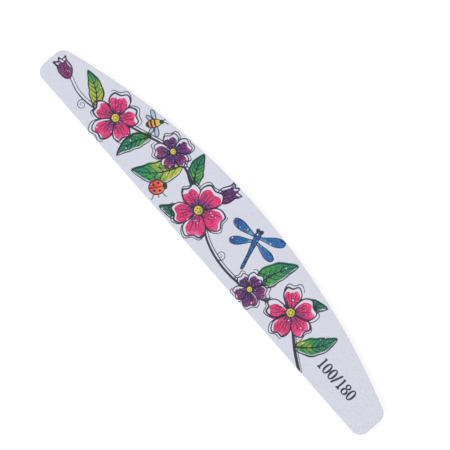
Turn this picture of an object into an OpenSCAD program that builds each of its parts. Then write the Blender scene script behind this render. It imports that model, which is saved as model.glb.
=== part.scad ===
// Half-moon emery board, laid flat: a stiff plastic core between two foam cushions, with an
// abrasive sheet glued over each cushion. X runs along the board, Y towards its curved edge and
// Z up. The origin is at the middle of the underside. All sizes are in millimetres.

/* [Outline] */
// Length of the board from end to end
board_length = 178; // [130:1:220]
// Width across the middle, from the straight edge to the crown of the curved edge
board_width = 27.8; // [22:0.2:34]
// Width of each end, up to where the curved edge would meet the end
end_width = 12.8; // [11:0.2:18]
// Radius of the four rounded corners
corner_radius = 4; // [1.5:0.25:5]

/* [Core] */
// Thickness of the stiff plastic core
core_thickness = 0.8; // [0.5:0.1:2]

/* [Cushions] */
// Thickness of each foam cushion
foam_thickness = 1; // [0.5:0.1:2]
// How far the edge of a cushion sits inside the cut edge, where the foam sprang back from the die
foam_setback = 0.12; // [0:0.02:0.4]

/* [Adhesive films] */
// Thickness of the film between the core and each cushion
core_film_thickness = 0.08; // [0.04:0.01:0.2]
// Thickness of the film between each cushion and its abrasive sheet
sheet_film_thickness = 0.08; // [0.04:0.01:0.2]
// How far the edge of each film sits inside the cut edge
film_setback = 0.06; // [0:0.02:0.2]

/* [Abrasive sheets] */
// Thickness of the backing paper of each sheet
paper_thickness = 0.25; // [0.15:0.05:0.5]
// Thickness of the upper sheet's coat of 180 grade grains in resin
fine_grit_thickness = 0.18; // [0.1:0.02:0.4]
// Thickness of the lower sheet's coat of 100 grade grains in resin
coarse_grit_thickness = 0.26; // [0.1:0.02:0.5]

/* [Hidden] */
NODES = [
    "lower_grit_coat", "lower_backing_paper", "lower_sheet_adhesive", "lower_foam_cushion",
    "lower_core_adhesive", "plastic_core", "upper_core_adhesive", "upper_foam_cushion",
    "upper_sheet_adhesive", "upper_backing_paper", "upper_grit_coat"
];

// Thickness of each layer from the underside up, in the order of NODES
THICKNESSES = [
    coarse_grit_thickness, paper_thickness, sheet_film_thickness, foam_thickness,
    core_film_thickness, core_thickness, core_film_thickness, foam_thickness,
    sheet_film_thickness, paper_thickness, fine_grit_thickness
];

// Colours of the materials
grit_lilac = [0.84, 0.84, 0.89];
paper_white = [0.94, 0.93, 0.9];
film_amber = [0.9, 0.85, 0.68];
foam_white = [0.97, 0.97, 0.98];
plastic_white = [0.88, 0.89, 0.92];

// The curved edge is one arc through the two ends and the crown
edge_rise = board_width - end_width;
edge_radius = (pow(board_length / 2, 2) + pow(edge_rise, 2)) / (2 * edge_rise);
edge_centre_y = board_width / 2 - edge_radius;

// Centres of the two corner rounds of the +X end: on the straight edge and under the curved edge
corner_x = board_length / 2 - corner_radius;
straight_corner_y = corner_radius - board_width / 2;
curved_corner_y = edge_centre_y + sqrt(pow(edge_radius - corner_radius, 2) - pow(corner_x, 2));

// Direction in which a corner round meets the straight edge, the end and the curved edge
to_straight_edge = -90;
to_end = 0;
to_curved_edge = acos(corner_x / (edge_radius - corner_radius));

// Segments of the curved edge and of a corner round
edge_segments = 256;
corner_segments = 96;

// Place of a layer in NODES, and the height of the underside of the layer at that place
function place_of(name) = search([name], NODES)[0];
function base_of(place) = place == 0 ? 0 : base_of(place - 1) + THICKNESSES[place - 1];

// The outline before its corners are rounded, with every edge moved in by setback
module sharp_outline(setback) {
    intersection() {
        translate([0, edge_centre_y]) circle(r = edge_radius - setback, $fn = edge_segments);
        square([board_length - 2 * setback, board_width - 2 * setback], center = true);
    }
}

// What rounding takes off a corner: the wedge between the round's two edges, less the round
module corner_waste(centre_y, to_side, setback) {
    reach = 2 * corner_radius;
    translate([corner_x, centre_y]) difference() {
        polygon([
            [0, 0],
            reach * [cos(to_side), sin(to_side)],
            reach * [1, sign(to_side)],
            reach * [cos(to_end), sin(to_end)]
        ]);
        circle(r = corner_radius - setback, $fn = corner_segments);
    }
}

// The board's outline, with every edge moved in by setback
module board_outline(setback) {
    difference() {
        sharp_outline(setback);
        for (end = [0, 1]) mirror([end, 0]) {
            corner_waste(straight_corner_y, to_straight_edge, setback);
            corner_waste(curved_corner_y, to_curved_edge, setback);
        }
    }
}

// One layer of the board, at its height in the stack
module layer(name, setback = 0) {
    place = place_of(name);
    translate([0, 0, base_of(place)]) linear_extrude(THICKNESSES[place]) board_outline(setback);
}

module lower_grit_coat() { color(grit_lilac) layer("lower_grit_coat"); }
module lower_backing_paper() { color(paper_white) layer("lower_backing_paper"); }
module lower_sheet_adhesive() { color(film_amber) layer("lower_sheet_adhesive", film_setback); }
module lower_foam_cushion() { color(foam_white) layer("lower_foam_cushion", foam_setback); }
module lower_core_adhesive() { color(film_amber) layer("lower_core_adhesive", film_setback); }
module plastic_core() { color(plastic_white) layer("plastic_core"); }
module upper_core_adhesive() { color(film_amber) layer("upper_core_adhesive", film_setback); }
module upper_foam_cushion() { color(foam_white) layer("upper_foam_cushion", foam_setback); }
module upper_sheet_adhesive() { color(film_amber) layer("upper_sheet_adhesive", film_setback); }
module upper_backing_paper() { color(paper_white) layer("upper_backing_paper"); }
module upper_grit_coat() { color(grit_lilac) layer("upper_grit_coat"); }

lower_grit_coat();
lower_backing_paper();
lower_sheet_adhesive();
lower_foam_cushion();
lower_core_adhesive();
plastic_core();
upper_core_adhesive();
upper_foam_cushion();
upper_sheet_adhesive();
upper_backing_paper();
upper_grit_coat();
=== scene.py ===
"""The looks of the half-moon emery board, built round its packed layers.

The two grit coats become displaced meshes that carry a printed design, and the two cushions
become foam with drawn-in, pitted edges. The papers, films and core keep their own solids. The
board's lengths are in millimetres until a mesh is made, because its details are tenths of one.
"""

import math
from functools import partial

import bpy
import numpy as np
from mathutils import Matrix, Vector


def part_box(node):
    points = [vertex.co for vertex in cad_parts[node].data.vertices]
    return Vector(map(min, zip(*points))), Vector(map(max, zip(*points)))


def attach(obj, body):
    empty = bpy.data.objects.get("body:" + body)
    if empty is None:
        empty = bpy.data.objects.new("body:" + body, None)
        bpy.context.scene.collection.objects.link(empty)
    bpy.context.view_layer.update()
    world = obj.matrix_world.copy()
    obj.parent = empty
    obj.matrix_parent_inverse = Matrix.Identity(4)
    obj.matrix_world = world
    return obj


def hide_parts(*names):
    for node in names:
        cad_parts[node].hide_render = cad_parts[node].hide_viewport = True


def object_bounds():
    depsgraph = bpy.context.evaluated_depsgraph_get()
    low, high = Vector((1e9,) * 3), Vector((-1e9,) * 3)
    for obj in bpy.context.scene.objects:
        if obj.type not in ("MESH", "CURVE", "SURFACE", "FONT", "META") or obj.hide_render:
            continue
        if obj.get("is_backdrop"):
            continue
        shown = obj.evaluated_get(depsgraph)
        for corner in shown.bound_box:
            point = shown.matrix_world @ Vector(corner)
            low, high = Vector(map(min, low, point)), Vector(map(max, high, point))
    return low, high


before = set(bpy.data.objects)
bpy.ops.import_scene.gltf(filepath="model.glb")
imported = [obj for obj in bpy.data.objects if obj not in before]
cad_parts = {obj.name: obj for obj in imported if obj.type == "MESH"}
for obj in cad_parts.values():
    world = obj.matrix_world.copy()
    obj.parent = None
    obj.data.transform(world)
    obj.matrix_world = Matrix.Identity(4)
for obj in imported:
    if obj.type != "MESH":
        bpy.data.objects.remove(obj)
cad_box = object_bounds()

MM = 0.001


# Outline, as in the CAD model: a straight edge, a curved edge and two ends with rounded corners

core_low, core_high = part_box("plastic_core")
HALF_LENGTH = core_high.x / MM
HALF_WIDTH = -core_low.y / MM
END_WIDTH = 12.8
CORNER_RADIUS = 4.0

edge_rise = 2 * HALF_WIDTH - END_WIDTH
EDGE_RADIUS = (HALF_LENGTH**2 + edge_rise**2) / (2 * edge_rise)
EDGE_CENTRE_Y = HALF_WIDTH - EDGE_RADIUS

CORNER_X = HALF_LENGTH - CORNER_RADIUS
STRAIGHT_CORNER_Y = CORNER_RADIUS - HALF_WIDTH
CURVED_CORNER_Y = EDGE_CENTRE_Y + math.sqrt((EDGE_RADIUS - CORNER_RADIUS) ** 2 - CORNER_X**2)
# Angle from X at which a corner round meets the curved edge
TO_CURVED_EDGE = math.acos(CORNER_X / (EDGE_RADIUS - CORNER_RADIUS))


def sides(x):
    """Y of the straight side and of the curved one, with the corner rounds that end them."""
    past = np.clip(np.abs(x) - CORNER_X, 0, CORNER_RADIUS)
    rise = np.sqrt(CORNER_RADIUS**2 - past**2)
    on_arc = EDGE_CENTRE_Y + np.sqrt(EDGE_RADIUS**2 - x**2)
    on_round = past > CORNER_RADIUS * math.cos(TO_CURVED_EDGE)
    return STRAIGHT_CORNER_Y - rise, np.where(on_round, CURVED_CORNER_Y + rise, on_arc)


def depth_inside(points):
    """Distance from each point in to the board's outline."""
    x, y = np.abs(points[:, 0]), points[:, 1]
    depth = np.minimum(y + HALF_WIDTH, HALF_LENGTH - x)
    depth = np.minimum(depth, EDGE_RADIUS - np.hypot(x, y - EDGE_CENTRE_Y))
    past = x - CORNER_X
    below, above = y - STRAIGHT_CORNER_Y, y - CURVED_CORNER_Y
    at_straight = (past > 0) & (below < 0)
    at_curved = (past > 0) & (above > 0) & (
        past * math.sin(TO_CURVED_EDGE) > above * math.cos(TO_CURVED_EDGE)
    )
    depth = np.where(at_straight, CORNER_RADIUS - np.hypot(past, below), depth)
    return np.where(at_curved, CORNER_RADIUS - np.hypot(past, above), depth)


def way_in(points):
    """Direction from each point straight in from the outline."""
    step, least = 0.01, 1e-6
    slopes = [depth_inside(points + shift) - depth_inside(points - shift)
              for shift in ((step, 0), (0, step))]
    way = np.stack(slopes, 1)
    return way / np.maximum(np.hypot(way[:, 0], way[:, 1]), least)[:, None]


# Noise

NOISE_TILE = 256
# The lattice lies askew to the board, so that its rows don't show
NOISE_TURN = np.array([[0.8, 0.6], [-0.6, 0.8]])


def noise(points, cell, seed):
    """Smooth noise from 0 to 1 at the points, with bumps about one cell across."""
    lattice = np.random.default_rng(seed).random((NOISE_TILE, NOISE_TILE))
    place = points @ NOISE_TURN / cell
    corner = np.floor(place).astype(int)
    part = place - corner
    part = part * part * (3 - 2 * part)
    i, j = corner[:, 0] % NOISE_TILE, corner[:, 1] % NOISE_TILE
    i_next, j_next = (i + 1) % NOISE_TILE, (j + 1) % NOISE_TILE
    low = lattice[i, j] * (1 - part[:, 0]) + lattice[i_next, j] * part[:, 0]
    high = lattice[i, j_next] * (1 - part[:, 0]) + lattice[i_next, j_next] * part[:, 0]
    return low * (1 - part[:, 1]) + high * part[:, 1]


# Grids over the board, in columns along X and rows across it

CORNER_COLUMNS = 18
# How far in from each side of the board its first rows of points lie
RIM_STEPS = np.array([0, 0.1, 0.25, 0.45])


def column_places(spacings):
    """X of the columns between the corners, from (end of stretch, spacing) pairs, and of the
    columns that close up round each corner."""
    stretches, start = [], -CORNER_X
    for end, spacing in spacings:
        count = max(1, round((end - start) / spacing))
        stretches.append(np.linspace(start, end, count, endpoint=False))
        start = end
    corner = CORNER_X + CORNER_RADIUS * np.sin(np.linspace(0, math.pi / 2, CORNER_COLUMNS))
    return np.concatenate([-corner[:0:-1], *stretches, corner])


def grid_points(columns, n_rows):
    """Points in columns from the straight side to the curved one, closer together by the rim."""
    low, high = sides(columns)
    first, last = low[:, None] + RIM_STEPS, high[:, None] - RIM_STEPS[::-1]
    shares = np.linspace(0, 1, n_rows - 2 * len(RIM_STEPS) + 2)[1:-1]
    between = first[:, -1:] + (last[:, :1] - first[:, -1:]) * shares
    y = np.hstack([first, between, last])
    return np.stack([np.broadcast_to(columns[:, None], y.shape), y], 2).reshape(-1, 2)


def loop_round(shape):
    """Places in the grid of the points on its outline, anticlockwise from the first."""
    grid = np.arange(math.prod(shape)).reshape(shape)
    return np.concatenate([grid[:, 0], grid[-1, 1:], grid[-2::-1, -1], grid[0, -2:0:-1]])


def grid_faces(shape):
    grid = np.arange(math.prod(shape)).reshape(shape)
    corners = [grid[:-1, :-1], grid[1:, :-1], grid[1:, 1:], grid[:-1, 1:]]
    return np.stack(corners, 2).reshape(-1, 4).tolist()


def wall_faces(upper, lower):
    """Faces between two loops of points, seen from outside."""
    return np.stack([upper, lower, np.roll(lower, -1), np.roll(upper, -1)], 1).tolist()


def cap_faces(loop, shape):
    """Faces across a loop, one for each pair of columns, seen from above."""
    n_columns, n_rows = shape
    low, right, high, left = np.split(loop, np.cumsum([n_columns, n_rows - 2, n_columns]))
    high = high[::-1]
    faces = np.stack([low[1:-2], low[2:-1], high[2:-1], high[1:-2]], 1).tolist()
    faces.append([low[0], low[1], high[1], high[0], *left])
    faces.append([low[-2], low[-1], *right, high[-1], high[-2]])
    return [[int(corner) for corner in face] for face in faces]


# Printed design: washes of colour and pen lines, painted as distances on a grid of points


def srgb(red, green, blue):
    """A colour as it shows on a screen, 0 to 255, in the linear values that shaders take."""
    shown = np.array([red, green, blue]) / 255
    return np.where(shown <= 0.04045, shown / 12.92, ((shown + 0.055) / 1.055) ** 2.4)


PINK, LIGHT_PINK = srgb(226, 38, 112), srgb(240, 84, 150)
PURPLE, PLUM = srgb(92, 30, 108), srgb(150, 42, 112)
LIME, GREEN, DEEP_GREEN = srgb(184, 194, 52), srgb(60, 156, 66), srgb(0, 122, 82)
NAVY, BLUE, CYAN = srgb(12, 58, 132), srgb(16, 104, 176), srgb(120, 200, 226)
YELLOW, ORANGE, RED = srgb(228, 206, 62), srgb(242, 128, 62), srgb(224, 44, 58)
OLIVE, HAZE, PALE_HAZE = srgb(120, 116, 44), srgb(150, 190, 214), srgb(200, 216, 228)

# How far from ink the distances still matter, and a distance that is well beyond it
INK_REACH = 0.6
FAR = 9.0
# How far the flowers' washes were printed off their outlines. The leaves' lie off the other way.
MISPRINT = np.array([0.45, -0.35])
# How much a wash strays from an even run of its colours
WASH_UNEVENNESS = 0.5

# Pens: the width of a line in steps from its start to its end
STALK_PEN = (1.2, 1.0, 0.8, 0.95, 0.65, 0.3)
BOLD_PEN = (0.34, 0.46, 0.7, 0.52, 0.42, 0.62, 0.34)
PLAIN_PEN = (0.3, 0.46, 0.38, 0.46, 0.28)
LOOSE_PEN = (0.2, 0.36, 0.3, 0.36, 0.2)
FINE_PEN = (0.24, 0.34, 0.28, 0.36, 0.24)
RIB_PEN = (0.62, 0.42, 0.2)
VEIN_PEN = (0.3, 0.24, 0.12)
THIN_PEN = (0.2, 0.14, 0.1)
STRIPE_PEN = (0.5, 0.7, 0.5)
SLASH_PEN = (0.76, 0.76)

# Straight pieces from one given point of a smooth curve to the next, and points round an oval
CURVE_STEPS = 8
OVAL_POINTS = 28


def smooth(points, closed=False):
    """Points along the smooth curve that runs through the given ones."""
    given = np.asarray(points, float)
    if closed:
        given = np.vstack([given[-1:], given, given[:2]])
    else:
        given = np.vstack([2 * given[0] - given[1], given, 2 * given[-1] - given[-2]])
    a, b, c, d = given[:-3], given[1:-2], given[2:-1], given[3:]
    t = (np.arange(CURVE_STEPS) / CURVE_STEPS)[:, None, None]
    bend = (2 * a - 5 * b + 4 * c - d) * t**2 + (3 * b - a - 3 * c + d) * t**3
    curve = (b + ((c - a) * t + bend) / 2).transpose(1, 0, 2).reshape(-1, 2)
    return curve if closed else np.vstack([curve, given[-2]])


def to_segments(points, starts, ends):
    """From each point to each segment: the distance, and how far along the nearest place is."""
    least = 1e-9
    run = ends - starts
    along = ((points[:, None] - starts) * run).sum(2) / np.maximum((run**2).sum(1), least)
    along = along.clip(0, 1)
    gap = points[:, None] - starts - along[..., None] * run
    return np.hypot(gap[..., 0], gap[..., 1]), along


def signed_distance(points, outline):
    """Distance to the outline, negative inside it."""
    ends = np.roll(outline, -1, 0)
    distance = to_segments(points, outline, ends)[0].min(1)
    rise = ends[:, 1] - outline[:, 1]
    slope = (ends[:, 0] - outline[:, 0]) / np.where(rise == 0, 1, rise)
    x, y = points[:, :1], points[:, 1:]
    level = (outline[:, 1] > y) != (ends[:, 1] > y)
    crossed = level & (x < outline[:, 0] + (y - outline[:, 1]) * slope)
    return np.where(crossed.sum(1) % 2 == 1, -distance, distance)


def placed(shape, at, size, turn):
    """A shape drawn about the origin, made to size, turned by degrees and moved to its place."""
    cosine, sine = math.cos(math.radians(turn)), math.sin(math.radians(turn))
    turned = np.asarray(shape, float) @ np.array([[cosine, sine], [-sine, cosine]])
    return turned * size + np.asarray(at, float)


def oval(at, half_length, half_width, turn=0):
    angles = np.linspace(0, 2 * math.pi, OVAL_POINTS, endpoint=False)
    shape = np.stack([half_length * np.cos(angles), half_width * np.sin(angles)], 1)
    return placed(shape, at, 1, turn)


def tones(start, end, colours, seed, patch=2.2):
    """A wash that runs through the colours from start to end, uneven in patches of that size."""
    start = np.asarray(start, float)
    run = end - start
    stops = np.linspace(0, 1, len(colours))

    def tone(points):
        stray = WASH_UNEVENNESS * (noise(points, patch, seed) - 0.5)
        along = (points - start) @ run / (run @ run) + stray
        return np.stack([np.interp(along, stops, part) for part in np.transpose(colours)], 1)

    return tone


class Print:
    """Ink on one face. For each point it holds the distance to the nearest edge of a wash and of
    a blot, negative in the ink, the wash's colour, and the way to the middle of the nearest line
    with half that line's width. Unlike a distance, a way keeps thin lines whole between points."""

    def __init__(self, points):
        self.points = points
        self.wash_edge = np.full(len(points), FAR)
        self.wash_colour = np.ones((len(points), 3))
        self.blot_edge = np.full(len(points), FAR)
        self.to_line = np.full((len(points), 2), FAR)
        self.line_half = np.zeros(len(points))

    def near(self, shape, reach):
        low, high = shape.min(0) - reach, shape.max(0) + reach
        return np.flatnonzero(((self.points > low) & (self.points < high)).all(1))

    def clear(self, outline):
        """Leaves the sheet bare inside the outline."""
        at = self.near(outline, 0)
        depth = -signed_distance(self.points[at], outline)
        self.wash_edge[at] = np.maximum(self.wash_edge[at], depth)
        self.blot_edge[at] = np.maximum(self.blot_edge[at], depth)
        self.to_line[at[depth > 0]] = FAR

    def wash(self, outline, tone):
        """Colours the inside of the outline, with the colours that tone gives at points."""
        at = self.near(outline, INK_REACH)
        distance = signed_distance(self.points[at], outline)
        bare = (self.wash_edge[at] > 0) & (distance < np.minimum(self.wash_edge[at], INK_REACH))
        taken = at[bare | (distance < 0)]
        self.wash_colour[taken] = tone(self.points[taken])
        self.wash_edge[at] = np.minimum(self.wash_edge[at], distance)

    def blot(self, outline, hole=None):
        """A patch of solid ink, with a hole in it if one is given."""
        at = self.near(outline, INK_REACH)
        distance = signed_distance(self.points[at], outline)
        if hole is not None:
            distance = np.maximum(distance, -signed_distance(self.points[at], hole))
        self.blot_edge[at] = np.minimum(self.blot_edge[at], distance)

    def dot(self, at, radius):
        self.blot(oval(at, radius, radius))

    def line(self, curve, pen):
        """A pen line along the curve."""
        at = self.near(curve, INK_REACH + max(pen))
        starts, run = curve[:-1], np.diff(curve, axis=0)
        distance, along = to_segments(self.points[at], starts, curve[1:])
        nearest = distance.argmin(1)
        row = np.arange(len(at))
        distance, along = distance[row, nearest], along[row, nearest]
        share = (nearest + along) / len(run)
        half = np.interp(share, np.linspace(0, 1, len(pen)), pen) / 2
        so_far = np.hypot(*self.to_line[at].T) - self.line_half[at]
        closer = distance - half < so_far
        way = starts[nearest] + along[:, None] * run[nearest] - self.points[at]
        self.to_line[at[closer]] = way[closer]
        self.line_half[at[closer]] = half[closer]

    def stroke(self, points, pen):
        """A smooth pen line through the points."""
        self.line(smooth(points), pen)

    def contour(self, outline, pen):
        """A pen line round the outline, back to its start."""
        self.line(np.vstack([outline, outline[:1]]), pen)

    def patch(self, outline, tone, pen, shift=0):
        """An area cleared, coloured and outlined. The colour lies off the outline by shift."""
        self.clear(outline)
        self.wash(outline + shift, tone)
        self.contour(outline, pen)


# Motifs, drawn about the origin at a size of one and then placed on the face


def washed(ink, shape, at, size, turn, colours, pen, seed, share, sway=0):
    """A shape cleared and outlined. Its wash fills that share of it, a little off its outline."""
    outline = smooth(placed(shape, at, size, turn), closed=True)
    area = placed(shape, at + MISPRINT, share * size, turn + sway)
    ink.clear(outline)
    ink.wash(smooth(area, closed=True), tones(at, placed((1, 0), at, size, turn), colours, seed))
    ink.contour(outline, pen)


PETAL = np.array([(0.1, 0.03), (0.3, 0.25), (0.66, 0.4), (0.95, 0.27), (0.92, 0.02), (1, -0.24),
                  (0.7, -0.4), (0.32, -0.24), (0.1, -0.03)])
# Points of its outline that the pen goes round again
AGAIN_POINTS = 36
VEIN_SWAYS = (-11, 2, 13)


def petal(ink, at, size, turn, colours, pen, seed):
    """A petal that grows from the blossom's centre, with part of its outline drawn again."""
    rng = np.random.default_rng(seed)
    width, sway = rng.uniform(0.88, 1.12), rng.uniform(-7, 7)
    shape = PETAL * (1, width)
    washed(ink, shape, at, size, turn, colours, pen, seed, share=0.9, sway=sway)
    farther, sway, first = rng.uniform(0.8, 1.3), rng.uniform(-5, 5), rng.integers(8, 24)
    again = smooth(placed(shape, at, size + farther, turn + sway), closed=True)
    ink.line(again[first:first + AGAIN_POINTS], LOOSE_PEN)
    for sway in VEIN_SWAYS:
        start, bend, end = 0.45, 0.02, rng.uniform(0.68, 0.88)
        vein = [(start, 0), ((start + end) / 2, bend), (end, 0)]
        ink.stroke(placed(vein, at, size, turn + sway), VEIN_PEN)


# The petals in the order in which they are laid over each other
PETALS = (0, 2, 4, 1, 3)
STAMENS = 13
HEART_DOTS = 5


def blossom(ink, at, size, turn, colours, pen, seed):
    """A five-petalled flower with stamens that spread from its heart."""
    at = np.asarray(at, float)
    rng = np.random.default_rng(seed)
    for k in PETALS:
        reach, sway = rng.uniform(0.93, 1.05), rng.uniform(-5, 5)
        way = turn + 360 / len(PETALS) * k + sway
        petal(ink, at, size * reach, way, colours, pen, 10 * seed + k)
    for k in range(STAMENS):
        stray, start, end = rng.uniform(-0.25, 0.25), 0.1, rng.uniform(0.3, 0.42)
        way = turn + 360 * (k + stray) / STAMENS
        tip, tip_length, tip_width = end + 0.03, 0.036, 0.028
        ink.line(placed([(start, 0), (end, 0)], at, size, way), FINE_PEN)
        ink.blot(oval(placed((tip, 0), at, size, way), tip_length * size, tip_width * size, way))
    heart, tone_run, to_dot, dot = 0.18, 0.2, 0.08, 0.028
    heart_tone = tones(at, at + tone_run * size, [YELLOW, LIME, OLIVE], seed)
    ink.patch(oval(at, heart * size, heart * size), heart_tone, PLAIN_PEN)
    for k in range(HEART_DOTS):
        ink.dot(placed((to_dot, 0), at, size, turn + 360 / HEART_DOTS * k), dot * size)


LEAF_POINTS = 25
# Powers that lay a leaf's widest place nearer to its base and fill out its ends
LEAF_LEAN, LEAF_FULLNESS = 0.8, 0.85
# How much and how often a leaf's edge waves
LEAF_WAVE, LEAF_WAVES = 0.05, 21
# Points of the rib from which veins run to the edge
VEINED = range(3, 16, 3)


def leaf(ink, base, tip, half_width, bend, colours, seed):
    """A lance-shaped leaf. Half its width and its bend are shares of its length."""
    base = np.asarray(base, float)
    run = tip - base
    length, turn = math.hypot(*run), math.degrees(math.atan2(run[1], run[0]))
    t = np.linspace(0, 1, LEAF_POINTS)
    rib = np.stack([t, bend * np.sin(math.pi * t)], 1)
    across = np.stack([-bend * math.pi * np.cos(math.pi * t), np.ones_like(t)], 1)
    half = half_width * np.sin(math.pi * t**LEAF_LEAN) ** LEAF_FULLNESS
    half *= 1 + LEAF_WAVE * np.sin(LEAF_WAVES * t)
    across *= (half / np.hypot(across[:, 0], across[:, 1]))[:, None]
    rib, upper, lower = (placed(edge, base, length, turn)
                         for edge in (rib, rib + across, rib - across))
    outline = np.vstack([upper, lower[-2:0:-1]])
    ink.clear(outline)
    ink.wash(outline - MISPRINT, tones(base, tip, colours, seed, patch=3))
    ink.line(upper, PLAIN_PEN)
    ink.line(lower, BOLD_PEN)
    ink.line(rib, RIB_PEN)
    for k in VEINED:
        for side in (upper, lower):
            on_way = 0.55 * rib[k + 2] + 0.45 * side[k + 2]
            near_edge = 0.25 * rib[k + 4] + 0.75 * side[k + 4]
            ink.stroke([rib[k], on_way, near_edge], VEIN_PEN)


HALF_BUD = [(0.12, 0.2), (0.42, 0.32), (0.8, 0.27), (1, 0.33), (0.92, 0.1)]
BUD = np.array([(0, 0), *HALF_BUD, (1.08, 0.01), *[(x, -y) for x, y in HALF_BUD[::-1]]])
BUD_FOLD = np.array([(0.92, 0.1), (0.62, 0.17), (0.3, 0.1), (0.1, 0.02)])
BUD_MIDDLE = [(0.15, 0), (0.5, 0.02), (0.8, -0.01)]


def bud(ink, at, size, turn, colours, seed):
    """A cup-shaped bud that opens away from its stalk."""
    put = partial(placed, at=at, size=size, turn=turn)
    washed(ink, BUD, at, size, turn, colours, BOLD_PEN, seed, share=0.92)
    for side in (-1, 1):
        ink.stroke(put(BUD_FOLD * (1, side)), VEIN_PEN)
    ink.stroke(put(BUD_MIDDLE), VEIN_PEN)


def tendril(ink, at, size, turn):
    """A thin stalk that curls up."""
    curled, end_radius, n_points = 3.2 * math.pi, 0.15, 40
    angles = np.linspace(0, curled, n_points)
    radius = np.linspace(1, end_radius, n_points)
    curl = np.stack([radius * np.sin(angles), 1 - radius * np.cos(angles)], 1)
    ink.line(placed(curl, at, size, turn), VEIN_PEN)


WING = np.array([(0, 0), (0.3, 0.1), (0.7, 0.19), (0.97, 0.12), (0.99, -0.06), (0.72, -0.14),
                 (0.3, -0.07)])
WING_RIB = [(0.35, 0), (0.5, 0), (0.7, 0)]
# Wings longer than this, in millimetres, have a rib
RIBBED_WING = 6


def wings(ink, at, size, turn, pairs, colours, seed):
    """Pairs of wings. Each is given by how far forward it lies, its reach and its angle."""
    for forward, reach, angle in pairs:
        for side in (-1, 1):
            root = placed((forward, 0.03 * side), at, size, turn)
            put = partial(placed, at=root, size=size * reach, turn=turn + side * angle)
            wing, tip = smooth(put(WING * (1, side)), closed=True), put((1, 0))
            ink.patch(wing, tones(root, tip, colours, seed, patch=1.4), FINE_PEN, shift=0.15)
            if size * reach > RIBBED_WING:
                ink.line(put(WING_RIB), THIN_PEN)


DRAGONFLY = [(-0.95, 0.05), (-0.5, 0.05), (0, 0.09), (0.3, 0.09), (0.38, 0), (0.3, -0.09),
             (0, -0.08), (-0.5, -0.05), (-0.95, -0.04)]
DRAGONFLY_WINGS = [(0.02, 0.82, 112), (0.16, 0.92, 76)]
DRAGONFLY_RINGS = (-0.75, -0.55, -0.35, -0.15)


def dragonfly(ink, at, size, turn, seed):
    put = partial(placed, at=at, size=size, turn=turn)
    wings(ink, at, size, turn, DRAGONFLY_WINGS, [CYAN, BLUE, BLUE, NAVY], seed)
    tail, head, eye = -0.95, 0.38, 0.07
    body_tone = tones(put((tail, 0)), put((head, 0)), [NAVY, BLUE, NAVY], seed)
    ink.patch(smooth(put(DRAGONFLY), closed=True), body_tone, FINE_PEN)
    for x in DRAGONFLY_RINGS:
        ink.line(put([(x, -0.05), (x + 0.02, 0.05)]), FINE_PEN)
    for side in (-1, 1):
        ink.dot(put((head, eye * side)), eye * size)


BEE_WINGS = [(0.1, 0.8, 128), (0.2, 0.95, 98)]
# Place and half the length of each stripe
BEE_STRIPES = ((-0.38, 0.19), (-0.14, 0.28), (0.12, 0.28))
BEE_FEELER = np.array([(0.68, 0.06), (0.9, 0.14), (1, 0.3)])


def bee(ink, at, size, turn, seed):
    put = partial(placed, at=at, size=size, turn=turn)
    wings(ink, at, size, turn, BEE_WINGS, [PALE_HAZE, HAZE], seed)
    half_length, half_width, head_place, head = 0.56, 0.3, 0.58, 0.17
    body = oval(at, half_length * size, half_width * size, turn)
    ink.patch(body, tones(put((-0.6, 0)), put((0.5, 0)), [ORANGE, YELLOW], seed), FINE_PEN)
    for x, half in BEE_STRIPES:
        ink.stroke(put([(x, -half), (x - 0.05, 0), (x, half)]), STRIPE_PEN)
    ink.dot(put((head_place, 0)), head * size)
    for side in (-1, 1):
        ink.stroke(put(BEE_FEELER * (1, side)), LOOSE_PEN)


LEG = np.array([(1, 0.4), (1.4, 0.66), (1.8, 0.72)])
LEGS_FORWARD = (-0.3, 0, 0.3)
PARTING = [(-0.55, 0), (0.45, 0)]
SPOTS = ((0.15, 0.26), (0.15, -0.26), (-0.2, 0.2), (-0.2, -0.2))


def ladybird(ink, at, size, turn, seed):
    put = partial(placed, at=at, size=size, turn=turn)
    for forward in LEGS_FORWARD:
        for side in (-1, 1):
            ink.stroke(put(LEG * (forward, side)), LOOSE_PEN)
    half_length, half_width, spot_size = 0.54, 0.48, 0.085
    head, head_length, head_width = put((0.55, 0)), 0.15, 0.26
    body = oval(at, half_length * size, half_width * size, turn)
    ink.patch(body, tones(put((-0.5, 0.3)), put((0.5, -0.3)), [RED, ORANGE], seed), PLAIN_PEN)
    ink.line(put(PARTING), LOOSE_PEN)
    ink.blot(oval(head, head_length * size, head_width * size, turn))
    for spot in SPOTS:
        ink.dot(put(spot), spot_size * size)


# Grade numbers, in plain numerals with serifs

NUMERAL_HEIGHT = 4.5
NUMERAL_HALF_WIDTH = 1.36
STEM = 0.86
SERIF = 0.4
SLASH = np.array([(-0.66, -0.46), (0.66, 0.47)]) * (1, NUMERAL_HEIGHT)


def numeral_ring(ink, at, half_width, half_height, side=STEM):
    """A loop of a numeral: heavy at its sides, light at its top and bottom."""
    hole = oval(at, half_width - side, half_height - SERIF)
    ink.blot(oval(at, half_width, half_height), hole)


def zero(ink, at):
    numeral_ring(ink, at, NUMERAL_HALF_WIDTH, NUMERAL_HEIGHT / 2)


def eight(ink, at):
    """Two loops that meet in the middle, the smaller one above."""
    top = NUMERAL_HEIGHT / 2
    upper, lower = 0.228 * NUMERAL_HEIGHT, 0.284 * NUMERAL_HEIGHT
    upper_width = 0.86 * NUMERAL_HALF_WIDTH
    numeral_ring(ink, at + (0, top - upper), upper_width, upper, side=0.85 * STEM)
    numeral_ring(ink, at - (0, top - lower), NUMERAL_HALF_WIDTH, lower, side=0.95 * STEM)


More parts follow.
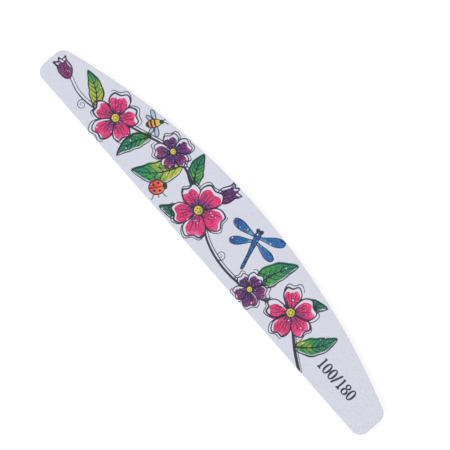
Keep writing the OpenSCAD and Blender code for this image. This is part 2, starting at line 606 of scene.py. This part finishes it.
def one(ink, at):
    """A stem with a flag at its top and a serif under its foot."""
    stem, foot, flag = 0.44 * STEM, 0.82, 0.86
    top = NUMERAL_HEIGHT / 2
    flag_top, flag_tip, flag_root = top - 0.25, top - 0.6, top - 0.55
    foot_tip, foot_root = SERIF - top, 1.8 * SERIF - top
    ink.blot(at + np.array([(stem, -top), (stem, top), (0, top), (-flag, flag_top),
                            (-flag, flag_tip), (-stem, flag_root), (-stem, -top)]))
    ink.blot(at + np.array([(-foot, -top), (foot, -top), (foot, foot_tip), (stem, foot_root),
                            (-stem, foot_root), (-foot, foot_tip)]))


def slash(ink, at):
    ink.line(at + SLASH, SLASH_PEN)


# The grades of the two faces, 100 and 180, with a slash between them: each figure and its X
NUMERALS = ((one, 59.5), (zero, 62.1), (zero, 64.9), (slash, 67.2), (one, 69.6), (eight, 72.25),
            (zero, 75))
NUMERALS_Y = -5.55


# Layout of the design, in millimetres and degrees

YOUNG, OLD = [LIME, LIME, GREEN, DEEP_GREEN], [LIME, GREEN, DEEP_GREEN, DEEP_GREEN]
PINKS, VIOLETS = [PURPLE, PLUM, PINK, PINK, LIGHT_PINK], [PURPLE, PURPLE, PLUM]

VINE = [(57, -14.6), (50, -10.6), (38, -3.5), (27, -6.8), (14, -9.8), (1, -8.6), (-12, -2.5),
        (-24, 3), (-35, 4), (-46, 0.5), (-57, -3.6), (-66, -7), (-73, -7.6), (-79, -6)]
# A second line runs along the vine at this distance
VINE_GAP = 1.15
# Base, tip, half width, bend and colours of each leaf
LEAVES = [
    ((-19, 1.5), (-25.5, 12.2), 0.22, 0.1, OLD),
    ((-28, 3.7), (-39, -11.5), 0.21, 0.1, YOUNG),
    ((22.5, -7), (27.5, 11), 0.19, 0.08, OLD),
    ((48, -9.4), (56.5, 4.2), 0.19, -0.1, OLD),
    ((-64, -6.4), (-76.5, 0.4), 0.18, -0.1, YOUNG),
    ((-43, 2), (-46.5, -12), 0.18, -0.1, OLD),
    ((-12, -2.8), (-22.5, -12.6), 0.2, 0.1, OLD),
    ((38, -2.2), (46, 8.8), 0.2, 0.1, OLD),
]
# Place, size and turn of each tendril, bud and blossom, with the colours and pen that it takes
TENDRILS = [((6, -9.4), 1.9, 10), ((-69, -7.4), 1.9, 190)]
BUDS = [((-10.5, 4.6), 8.8, 74, [PLUM, PURPLE, PURPLE]), ((-79, -6), 7.6, 168, [PLUM, PURPLE])]
BLOSSOMS = [
    ((-12, -2.8), 9.8, 20, PINKS, BOLD_PEN),
    ((38, -2.2), 9.4, -8, PINKS, BOLD_PEN),
    ((-57, -3.3), 8.8, 50, PINKS, BOLD_PEN),
    ((-34, 4.4), 6.7, 5, VIOLETS, PLAIN_PEN),
    ((21.8, -7.8), 6.3, 30, VIOLETS, PLAIN_PEN),
]


def scatter(ink, draw, places, first_seed):
    """Draws a motif at each of its places, with one seed after another."""
    for seed, place in enumerate(places, first_seed):
        draw(ink, *place, seed)


def paint(points):
    """The whole design: a flowering vine, three insects and the grade numbers."""
    ink = Print(points)
    scatter(ink, leaf, LEAVES, first_seed=31)
    vine = smooth(VINE)
    ink.line(vine, STALK_PEN)
    ink.line(vine + (0, VINE_GAP), LOOSE_PEN)
    for place in TENDRILS:
        tendril(ink, *place)
    scatter(ink, bud, BUDS, first_seed=41)
    scatter(ink, blossom, BLOSSOMS, first_seed=51)
    dragonfly(ink, at=(10.2, 5), size=11, turn=112, seed=61)
    bee(ink, at=(-46.3, 5.8), size=5.1, turn=60, seed=62)
    ladybird(ink, at=(-28.2, -8.6), size=5.5, turn=60, seed=63)
    for draw, x in NUMERALS:
        draw(ink, np.array((x, NUMERALS_Y)))
    return ink


# Meshes of the pieces that stand for plain solids of the board

# Faces that meet at a steeper angle than this have a sharp edge
SHARP_ANGLE = 50


def add_object(name, data):
    item = bpy.data.objects.new(name, data)
    bpy.context.collection.objects.link(item)
    return item


def make_slab(name, points, flat, face, rings, shape):
    """A slab: its face, the walls between rings of points, and a far side. Its points lie at
    flat if it is pressed flat."""
    walls = [wall for pair in zip(rings, rings[1:]) for wall in wall_faces(*pair)]
    far_side = [corners[::-1] for corners in cap_faces(rings[-1], shape)]
    faces = face + walls + far_side
    mesh = bpy.data.meshes.new(name)
    mesh.from_pydata((points * MM).tolist(), [], faces)
    mesh.polygons.foreach_set("use_smooth", np.ones(len(faces), bool))
    mesh.set_sharp_from_angle(angle=math.radians(SHARP_ANGLE))
    lay_out(mesh, faces, flat, len(faces) - len(far_side))
    return add_object(name, mesh)


def dress(piece, node, material):
    """The piece stands for a CAD node, which it hides, moves with the board and takes the given
    material.
    """
    piece.data.materials.append(material)
    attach(piece, "root")
    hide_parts(node)


# Layout for baked colours: the two halves of a face and its walls, one above the other, and the
# far side at half their scale. The square is BAKE_SPAN wide in millimetres of the face. Each
# half has a strip with room for the walls on both its sides and for a gap.
BAKE_SPAN = 92.0
BAKE_GAP = 1.5
WALL_ROOM = 3.7
BAKE_STRIP = 2 * HALF_WIDTH + WALL_ROOM


def lay_out(mesh, faces, flat, first_far):
    """Gives each face its place in the layout."""
    x, y = flat[np.concatenate(faces)].T
    counts = np.array([len(face) for face in faces])
    on_right = np.repeat(np.add.reduceat(x, np.cumsum(counts) - counts) > 0, counts)
    on_far = np.repeat(np.arange(len(faces)) >= first_far, counts)
    along, across = x + HALF_LENGTH, y + HALF_WIDTH
    u = np.where(on_far, along / 2, np.where(on_right, x, along))
    v = np.where(on_far, across / 2 + 2 * BAKE_STRIP, across + np.where(on_right, BAKE_STRIP, 0))
    layer = mesh.uv_layers.new(name="OFBake")
    layer.data.foreach_set("uv", ((np.stack([u, v], 1) + BAKE_GAP) / BAKE_SPAN).ravel())


# Grit coats: grids fine enough to hold the print, finer still under the numbers
PRINT_STEP = 0.24
NUMBER_STEP = 0.135
NUMBERS_START, NUMBERS_END = 57, 78
COAT_ROWS = 105
COAT_COLUMNS = column_places([(0, PRINT_STEP), (NUMBERS_START, PRINT_STEP),
                              (NUMBERS_END, NUMBER_STEP), (CORNER_X, PRINT_STEP)])
COAT_SHAPE = (len(COAT_COLUMNS), COAT_ROWS)
COAT_GRID = grid_points(COAT_COLUMNS, COAT_ROWS)
COAT_LOOP = loop_round(COAT_SHAPE)
# The face turns down a little at its cut edge
ROLL_DROP, ROLL_REACH = 0.05, 0.6
# The cut edge is nicked where grains broke away from it, and chipped all the way down
NICK_DEPTH, NICK_SIZE, NICK_REACH = 0.14, 0.7, 1.0
CHIP_DEPTH, CHIP_SIZE = 0.05, 0.25
# Levels of the rings of points below the face, as shares of its height
COAT_LEVELS = (0.66, 0.33, 0)


def coat_face(thickness, relief, cell, seed):
    """The face of a coat: uneven by up to relief, turned down and nicked at its edge."""
    depth = depth_inside(COAT_GRID)
    nick = NICK_DEPTH * noise(COAT_GRID, NICK_SIZE, seed) ** 2
    nick *= np.clip(1 - depth / NICK_REACH, 0, 1) ** 2
    place = COAT_GRID + way_in(COAT_GRID) * nick[:, None]
    height = thickness - ROLL_DROP * np.clip(1 - depth / ROLL_REACH, 0, 1) ** 2
    height -= relief * noise(COAT_GRID, cell, seed + 1)
    return np.column_stack([place, height])


def write_attribute(mesh, name, kind, values, rest):
    """Writes values on the first points of a mesh, and rest on each of the others."""
    everywhere = np.full((len(mesh.vertices), *values.shape[1:]), rest, float)
    everywhere[:len(values)] = values
    layer = mesh.attributes.new(name, kind, "POINT")
    field = {"FLOAT": "value", "FLOAT_VECTOR": "vector", "FLOAT_COLOR": "color"}[kind]
    layer.data.foreach_set(field, everywhere.ravel())


def write_ink(mesh, ink):
    """Writes the print on the face of a coat, whose points come first, and leaves the rest bare."""
    for name, edge in (("wash_edge", ink.wash_edge), ("blot_edge", ink.blot_edge)):
        write_attribute(mesh, name, "FLOAT", edge.clip(-INK_REACH, INK_REACH), INK_REACH)
    ones = np.ones((len(ink.points), 1))
    write_attribute(mesh, "wash_colour", "FLOAT_COLOR", np.hstack([ink.wash_colour, ones]), 1)
    write_attribute(mesh, "to_line", "FLOAT_VECTOR", np.hstack([ink.to_line, 0 * ones]), FAR)
    write_attribute(mesh, "line_distance", "FLOAT", np.hypot(*ink.to_line.T), FAR)
    write_attribute(mesh, "line_half", "FLOAT", ink.line_half, 0)


def coat_walls(face, thickness, seed):
    """Rings of points down the chipped edge of a coat, and where they lie if pressed flat."""
    rim, outline = face[COAT_LOOP], COAT_GRID[COAT_LOOP]
    way = way_in(outline)
    nick = ((rim[:, :2] - outline) * way).sum(1)
    rings, flat = [], []
    for k, level in enumerate(COAT_LEVELS):
        inset = level * nick + CHIP_DEPTH * noise(outline, CHIP_SIZE, seed + k)
        place = outline + way * inset[:, None]
        rings.append(np.column_stack([place, level * rim[:, 2]]))
        flat.append(outline - way * thickness * (1 - level))
    return np.vstack(rings), np.vstack(flat)


def grit_coat(node, material, ink, up, relief, cell, seed):
    """The coat that stands for a CAD node. With up -1 it faces down, turned end over end."""
    low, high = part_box(node)
    thickness = (high.z - low.z) / MM
    base = (low.z if up > 0 else high.z) / MM
    face = coat_face(thickness, relief, cell, seed)
    rings, flat_rings = coat_walls(face, thickness, seed + 2)
    points, flat = np.vstack([face, rings]), np.vstack([face[:, :2], flat_rings])
    numbers = np.arange(len(face), len(points)).reshape(len(COAT_LEVELS), -1)
    on_board = np.column_stack([up * points[:, 0], points[:, 1], base + up * points[:, 2]])
    piece = make_slab(node + "_grains", on_board, flat, grid_faces(COAT_SHAPE),
                      [COAT_LOOP, *numbers], COAT_SHAPE)
    write_ink(piece.data, ink)
    dress(piece, node, material)


# Foam cushions: a ring of points at each level of the cut edge, which draws in between its sheets
FOAM_STEP = 0.26
FOAM_ROWS = 16
FOAM_COLUMNS = column_places([(0, FOAM_STEP), (CORNER_X, FOAM_STEP)])
FOAM_SHAPE = (len(FOAM_COLUMNS), FOAM_ROWS)
FOAM_OUTLINE = grid_points(FOAM_COLUMNS, FOAM_ROWS)[loop_round(FOAM_SHAPE)]
FOAM_LEVELS = np.linspace(1, 0, 9)
FOAM_SETBACK = 0.12
FOAM_DRAW_IN = 0.1
PIT_DEPTH, PIT_SIZE = 0.09, 0.3
# Width of the cut edge in the layout for baked colours
FLAT_WALL = 1.0


def foam_rings(base, thickness, seed):
    """Rings of points down the pitted edge of a cushion, and where they lie if pressed flat."""
    way = way_in(FOAM_OUTLINE)
    step = np.hypot(*(np.roll(FOAM_OUTLINE, -1, 0) - FOAM_OUTLINE).T)
    along = np.concatenate([[0], np.cumsum(step)[:-1]])
    rings, flat = [], []
    for level in FOAM_LEVELS:
        z = np.full(len(along), base + level * thickness)
        pits = noise(np.column_stack([along, z]), PIT_SIZE, seed)
        inset = FOAM_SETBACK + (FOAM_DRAW_IN + PIT_DEPTH * pits) * math.sin(math.pi * level)
        rings.append(np.column_stack([FOAM_OUTLINE + way * inset[:, None], z]))
        flat.append(FOAM_OUTLINE - way * FLAT_WALL * (1 - level))
    return np.vstack(rings), np.vstack(flat)


def foam_cushion(node, material, seed):
    """A die-cut sheet of closed-cell foam, with the open cells of its cut edge as pits."""
    low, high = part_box(node)
    points, flat = foam_rings(low.z / MM, (high.z - low.z) / MM, seed)
    numbers = np.arange(len(points)).reshape(len(FOAM_LEVELS), -1)
    face = cap_faces(numbers[0], FOAM_SHAPE)
    piece = make_slab(node + "_cells", points, flat, face, numbers, FOAM_SHAPE)
    dress(piece, node, material)


# Materials. Noise has its counts to a millimetre. Depths and cells are in millimetres.

# Ranges that most of a noise's values lie in: a wide one for soft patterns, a close one for hard
SOFT, HARD = (0.3, 0.7), (0.35, 0.65)


class Nodes:
    """The nodes of a material or a world. An input takes a number, a colour or a node's output."""

    def __init__(self, owner):
        owner.use_nodes = True
        self.tree = owner.node_tree
        self.tree.nodes.clear()

    def add(self, kind, inputs=(), **settings):
        node = self.tree.nodes.new(kind)
        for key, value in settings.items():
            setattr(node, key, value)
        for key, value in dict(inputs).items():
            if isinstance(value, bpy.types.NodeSocket):
                self.tree.links.new(value, node.inputs[key])
            else:
                node.inputs[key].default_value = value
        return node

    def math(self, operation, *values):
        return self.add("ShaderNodeMath", enumerate(values), operation=operation).outputs[0]

    def vectors(self, operation, *values):
        return self.add("ShaderNodeVectorMath", enumerate(values), operation=operation).outputs

    def ramp(self, value, within, to=(0.0, 1.0)):
        """The value's place within one range, as a value of another. It stays in that one."""
        return self.add("ShaderNodeMapRange", enumerate((value, *within, *to))).outputs[0]

    def seen_directly(self):
        """1 for rays that show a surface itself: from the camera, in gloss or through glass."""
        path = self.add("ShaderNodeLightPath").outputs
        seen = self.math("MAXIMUM", path["Is Camera Ray"], path["Is Glossy Ray"])
        return self.math("MAXIMUM", seen, path["Is Transmission Ray"])


class Shader(Nodes):
    """The nodes of a new material, with patterns laid out in the board's own space."""

    def __init__(self, name):
        self.material = bpy.data.materials.new(name)
        super().__init__(self.material)
        self.place = self.add("ShaderNodeTexCoord").outputs["Object"]

    def attribute(self, name, output="Fac"):
        return self.add("ShaderNodeAttribute", attribute_name=name).outputs[output]

    def noise(self, per_mm, detail, scale=None):
        """Noise, with that many more bumps along X, Y and Z if a scale is given."""
        place = self.place
        if scale:
            place = self.add("ShaderNodeMapping", {"Vector": place, "Scale": scale}).outputs[0]
        inputs = {"Vector": place, "Scale": per_mm / MM, "Detail": detail}
        return self.add("ShaderNodeTexNoise", inputs).outputs["Fac"]

    def cells(self, size, **settings):
        """Outputs of a pattern of cells of that size: Distance and a random Color for each."""
        inputs = {"Vector": self.place, "Scale": 1 / (size * MM)}
        return self.add("ShaderNodeTexVoronoi", inputs, **settings).outputs

    def mix(self, share, first, second, blend="MIX"):
        """Two colours mixed by share. A single number stands for a grey."""
        node = self.add("ShaderNodeMix", {0: share, 6: as_colour(first), 7: as_colour(second)},
                        data_type="RGBA", blend_type=blend)
        return node.outputs[2]

    def tinted(self, colour, tone):
        """A colour made darker or lighter by the tone."""
        return self.mix(1.0, colour, tone, blend="MULTIPLY")

    def bump(self, height, depth, normal=None):
        inputs = {"Height": height, "Distance": depth * MM, "Strength": 1.0}
        if normal is not None:
            inputs["Normal"] = normal
        return self.add("ShaderNodeBump", inputs).outputs["Normal"]

    def surface(self, colour, roughness, normal, specular=0.5):
        inputs = {"Base Color": as_colour(colour), "Roughness": roughness, "Normal": normal,
                  "Specular IOR Level": specular}
        shader = self.add("ShaderNodeBsdfPrincipled", inputs)
        self.add("ShaderNodeOutputMaterial", {"Surface": shader.outputs["BSDF"]})
        return self.material


def as_colour(value):
    """A colour with its alpha. Outputs of nodes stay as they are."""
    if isinstance(value, bpy.types.NodeSocket):
        return value
    return (*np.broadcast_to(value, 3).tolist(), 1.0)


# Printed ink: its soft edge, and how far the grains make the edges of washes and lines stray
INK = srgb(34, 42, 60)
INK_EDGE = (-0.04, 0.04)
WASH_STRAY, LINE_STRAY = 0.2, 0.12
# Spots that the ink missed: their spacing, and as shares of it how far they stray from round and
# how large they are. The chance is the range of a random number.
MISSED_SPACING = 1.5
MISSED_STRAY, MISSED_SIZE = 0.25, 0.22
MISSED_CHANCE = (0.55, 0.8)
# Random numbers over which fragments of grains are more and more worn
WORN = (0.7, 0.95)
# Distances over which a line stops being drawn by the way to it
SURE_LINE = (0.18, 0.26)


def line_cover(shader, stray):
    """Share of a place that pen lines and blots of solid ink cover."""
    distance = shader.attribute("line_distance")
    way = shader.vectors("LENGTH", shader.attribute("to_line", "Vector"))["Value"]
    sharp = shader.math("ADD", way, shader.ramp(distance, SURE_LINE))
    edge = shader.math("MINIMUM", distance, sharp)
    edge = shader.math("SUBTRACT", edge, shader.attribute("line_half"))
    edge = shader.math("MINIMUM", edge, shader.attribute("blot_edge"))
    edge = shader.math("MULTIPLY_ADD", stray, LINE_STRAY, edge)
    return shader.ramp(edge, INK_EDGE, (1, 0))


def wash_cover(shader, stray, chips):
    """Share of a place that a colour wash covers: less on worn fragments and in small specks,
    and none on the few larger spots that the ink missed."""
    edge = shader.math("MULTIPLY_ADD", stray, WASH_STRAY, shader.attribute("wash_edge"))
    spots = shader.cells(MISSED_SPACING)
    to_spot = shader.math("MULTIPLY_ADD", stray, MISSED_STRAY, spots["Distance"])
    spot_size = shader.ramp(spots["Color"], MISSED_CHANCE, (0, MISSED_SIZE))
    missed = shader.math("MULTIPLY", shader.math("SUBTRACT", spot_size, to_spot), MISSED_SPACING)
    edge = shader.math("MAXIMUM", edge, missed)
    inside = shader.ramp(edge, INK_EDGE, (1, 0))
    specks = shader.ramp(shader.noise(3.2, detail=1), (0.65, 0.7), (1, 0.35))
    worn = shader.ramp(chips, WORN, (1, 0.6))
    return shader.math("MULTIPLY", shader.math("MULTIPLY", inside, specks), worn)


def tilted(shader, cells, tilt):
    """The surface's normal, tilted at random in each cell, as the flat faces of grains are."""
    lean = shader.vectors("SUBTRACT", cells["Color"], (0.5, 0.5, 0.5))["Vector"]
    normal = shader.add("ShaderNodeNewGeometry").outputs["Normal"]
    leaning = shader.vectors("MULTIPLY_ADD", lean, (tilt, tilt, tilt), normal)["Vector"]
    return shader.vectors("NORMALIZE", leaning)["Vector"]


FINE_LILAC, COARSE_LILAC = srgb(219, 221, 234), srgb(215, 217, 229)
# Fragments, the flat faces of grains: their size as a share of a grain's, and how far they tilt
FRAGMENT_SIZE, FRAGMENT_TILT = 0.6, 0.9


def grit_material(name, sheet, grain, grain_height, unevenness):
    """Angular grains set in resin, with a printed design that breaks up over them."""
    shader = Shader(name)
    grains, fragments = shader.cells(grain), shader.cells(FRAGMENT_SIZE * grain)
    grain_tone = shader.ramp(grains["Color"], (0.2, 0.8), (0.93, 1.07))
    clump_tone = shader.ramp(shader.noise(0.9, detail=4), SOFT, (0.99, 1.007))
    tone = shader.math("MULTIPLY", grain_tone, clump_tone)

    stray = shader.math("SUBTRACT", shader.noise(4.5, detail=3), 0.5)
    wash_tone = shader.ramp(shader.noise(1.1, detail=3), SOFT, (0.74, 1.12))
    wash_colour = shader.tinted(shader.attribute("wash_colour", "Color"), wash_tone)
    printed = shader.mix(wash_cover(shader, stray, fragments["Color"]), sheet, wash_colour)
    printed = shader.tinted(printed, tone)
    worn_line = shader.ramp(fragments["Color"], WORN, (0.97, 0.8))
    lined = shader.math("MULTIPLY", line_cover(shader, stray), worn_line)
    printed = shader.mix(lined, printed, INK)

    grain_top = shader.math("SUBTRACT", 1, grains["Distance"])
    grain_size = shader.ramp(grains["Color"], (0.25, 0.75), (0.3, 1))
    height = shader.math("MULTIPLY", grain_top, grain_size)
    normal = tilted(shader, fragments, FRAGMENT_TILT)
    normal = shader.bump(shader.noise(1.6, detail=3), unevenness, normal)
    normal = shader.bump(height, grain_height, normal)
    roughness = shader.ramp(fragments["Color"], (0.5, 0.85), (0.85, 0.3))
    return shader.surface(printed, roughness, normal, specular=0.3)


PAPER, PALE_PAPER = (0.72, 0.69, 0.61), (0.87, 0.85, 0.8)


def paper_material():
    """Heavy backing paper: matted fibres that lie along the sheet."""
    shader = Shader("backing_paper")
    fibres = shader.noise(7, detail=5, scale=(0.25, 1, 2.5))
    blotches = shader.noise(0.8, detail=3)
    colour = shader.mix(shader.ramp(fibres, HARD), PAPER, PALE_PAPER)
    colour = shader.tinted(colour, shader.ramp(blotches, SOFT, (0.94, 1.03)))
    normal = shader.bump(fibres, depth=0.02, normal=shader.bump(blotches, depth=0.03))
    return shader.surface(colour, shader.ramp(fibres, SOFT, (0.95, 0.75)), normal, specular=0.25)


AMBER, PALE_AMBER, DUST = (0.66, 0.52, 0.26), (0.84, 0.75, 0.52), (0.8, 0.79, 0.77)


def adhesive_material():
    """Acrylic film: amber, smoother than the paper, with drawn threads and dust at its edge."""
    shader = Shader("adhesive")
    threads = shader.noise(5, detail=3, scale=(0.4, 0.4, 3))
    dust = shader.noise(2.2, detail=2)
    colour = shader.mix(shader.ramp(threads, HARD), AMBER, PALE_AMBER)
    colour = shader.mix(shader.ramp(dust, (0.58, 0.7), (0, 0.6)), colour, DUST)
    normal = shader.bump(threads, depth=0.02)
    return shader.surface(colour, shader.ramp(dust, (0.4, 0.7), (0.28, 0.6)), normal)


PLASTIC, PALE_PLASTIC = (0.68, 0.71, 0.78), (0.79, 0.81, 0.85)


def core_material():
    """White polystyrene, with the upright scores that the cutting die left on its edge."""
    shader = Shader("core_plastic")
    scores = shader.noise(9, detail=4, scale=(1, 1, 0.06))
    scuffs = shader.noise(1.4, detail=4, scale=(1, 1, 2))
    colour = shader.mix(shader.ramp(scores, (0.35, 0.7)), PLASTIC, PALE_PLASTIC)
    colour = shader.tinted(colour, shader.ramp(scuffs, SOFT, (0.96, 1.03)))
    normal = shader.bump(scores, depth=0.03, normal=shader.bump(scuffs, depth=0.01))
    return shader.surface(colour, shader.ramp(scuffs, SOFT, (0.3, 0.52)), normal)


# The darker colour is painted shade in the hollows of the cut cells. The paler one is the foam's
# white at their walls.
FOAM_PAINTED_SHADE, PALE_FOAM = (0.8, 0.8, 0.82), (0.93, 0.93, 0.94)
FOAM_CELL = 0.2
SMALL_CELL = 0.45 * FOAM_CELL


def foam_material():
    """White closed-cell foam: cut cells with thin walls between them, and painted shade in the
    cells' hollows.
    """
    shader = Shader("foam")
    edges = shader.cells(FOAM_CELL, feature="DISTANCE_TO_EDGE")["Distance"]
    walls = shader.ramp(edges, (0.02, 0.3), (1, 0))
    small = shader.cells(SMALL_CELL)["Distance"]
    # Painted shade: each cell's hollow is darker than the walls round it
    colour = shader.mix(walls, FOAM_PAINTED_SHADE, PALE_FOAM)
    mottling = shader.ramp(shader.noise(0.7, detail=3), SOFT, (0.95, 1.03))
    colour = shader.tinted(colour, mottling)
    normal = shader.bump(walls, depth=0.03, normal=shader.bump(small, depth=0.01))
    return shader.surface(colour, shader.ramp(walls, (0, 1), (0.95, 0.8)), normal, specular=0.25)


def paint_node(node, material):
    """Gives a CAD node's own solid a material."""
    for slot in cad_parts[node].material_slots:
        slot.material = material


# The board. The coarse coat's grains, and what is uneven in it, are larger than the fine one's.

ink = paint(COAT_GRID)
fine = grit_material("fine_grit", FINE_LILAC, grain=0.12, grain_height=0.035, unevenness=0.015)
coarse = grit_material("coarse_grit", COARSE_LILAC, grain=0.19, grain_height=0.06, unevenness=0.03)
grit_coat("upper_grit_coat", fine, ink, up=1, relief=0.014, cell=0.35, seed=71)
grit_coat("lower_grit_coat", coarse, ink, up=-1, relief=0.035, cell=0.5, seed=81)

foam = foam_material()
foam_cushion("upper_foam_cushion", foam, seed=91)
foam_cushion("lower_foam_cushion", foam, seed=92)

paper, adhesive = paper_material(), adhesive_material()
for side in ("upper", "lower"):
    paint_node(side + "_backing_paper", paper)
    paint_node(side + "_sheet_adhesive", adhesive)
    paint_node(side + "_core_adhesive", adhesive)
paint_node("plastic_core", core_material())


# Floor, light and camera

AMBIENT = 0.6
# Size of the floor, and how far it lies below the board, in metres
FLOOR_SIZE = 6.0
FLOOR_DROP = 0.00001
FLOOR_WHITE = 0.9
# Shares of the floor's look to the camera that come from its lit surface and from its own glow
FLOOR_LIT, FLOOR_GLOW = 0.25, 0.8
LAMP_STRENGTH = 1.6
LAMP_ANGLE = 45
LAMP_TILT = (28, -18)


def make_floor():
    """A large white floor, pure white to the camera apart from the board's faint shadow."""
    half = FLOOR_SIZE / 2
    corners = [(x * half, y * half, -FLOOR_DROP) for x, y in ((-1, -1), (1, -1), (1, 1), (-1, 1))]
    mesh = bpy.data.meshes.new("floor")
    mesh.from_pydata(corners, [], [(0, 1, 2, 3)])
    shader = Shader("floor")
    lit, faint = (shader.add("ShaderNodeBsdfDiffuse", {"Color": as_colour(grey)}).outputs[0]
                  for grey in (FLOOR_WHITE, FLOOR_LIT))
    glow = shader.add("ShaderNodeEmission", {"Strength": FLOOR_GLOW}).outputs[0]
    shown = shader.add("ShaderNodeAddShader", {0: faint, 1: glow}).outputs[0]
    both = shader.add("ShaderNodeMixShader", {0: shader.seen_directly(), 1: lit, 2: shown})
    shader.add("ShaderNodeOutputMaterial", {"Surface": both.outputs[0]})
    mesh.materials.append(shader.material)
    floor = add_object("floor", mesh)
    floor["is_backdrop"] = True


def make_world():
    """Even white light from all round, which shows as pure white."""
    world = bpy.data.worlds.new("studio")
    nodes = Nodes(world)
    strength = nodes.ramp(nodes.seen_directly(), (0, 1), (AMBIENT, 1))
    background = nodes.add("ShaderNodeBackground", {"Color": as_colour(1), "Strength": strength})
    nodes.add("ShaderNodeOutputWorld", {"Surface": background.outputs[0]})
    bpy.context.scene.world = world


def make_lamp():
    """A broad soft light from above, a little to one side."""
    lamp = bpy.data.lights.new("lamp", "SUN")
    lamp.energy = LAMP_STRENGTH
    lamp.angle = math.radians(LAMP_ANGLE)
    holder = add_object("lamp", lamp)
    holder.rotation_euler = [math.radians(tilt) for tilt in LAMP_TILT] + [0]


# The camera looks straight down. The board's length slopes down across the picture.
CAMERA_PLACE = (-1.585, 0.915, 457.3)
CAMERA_TURN = 48.69
LENS, SENSOR_WIDTH = 100, 36
NEAREST = 10


def make_camera():
    lens = bpy.data.cameras.new("camera")
    lens.lens = LENS
    lens.sensor_width = SENSOR_WIDTH
    lens.clip_start = NEAREST * MM
    camera = add_object("camera", lens)
    camera.location = [length * MM for length in CAMERA_PLACE]
    camera.rotation_euler = (0, 0, math.radians(CAMERA_TURN))
    bpy.context.scene.camera = camera


make_floor()
make_world()
make_lamp()
make_camera()
bpy.context.scene.view_settings.view_transform = "Standard"

size = {"cad": cad_box, "visual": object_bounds()}
{name: [list(corner) for corner in box] for name, box in size.items()}
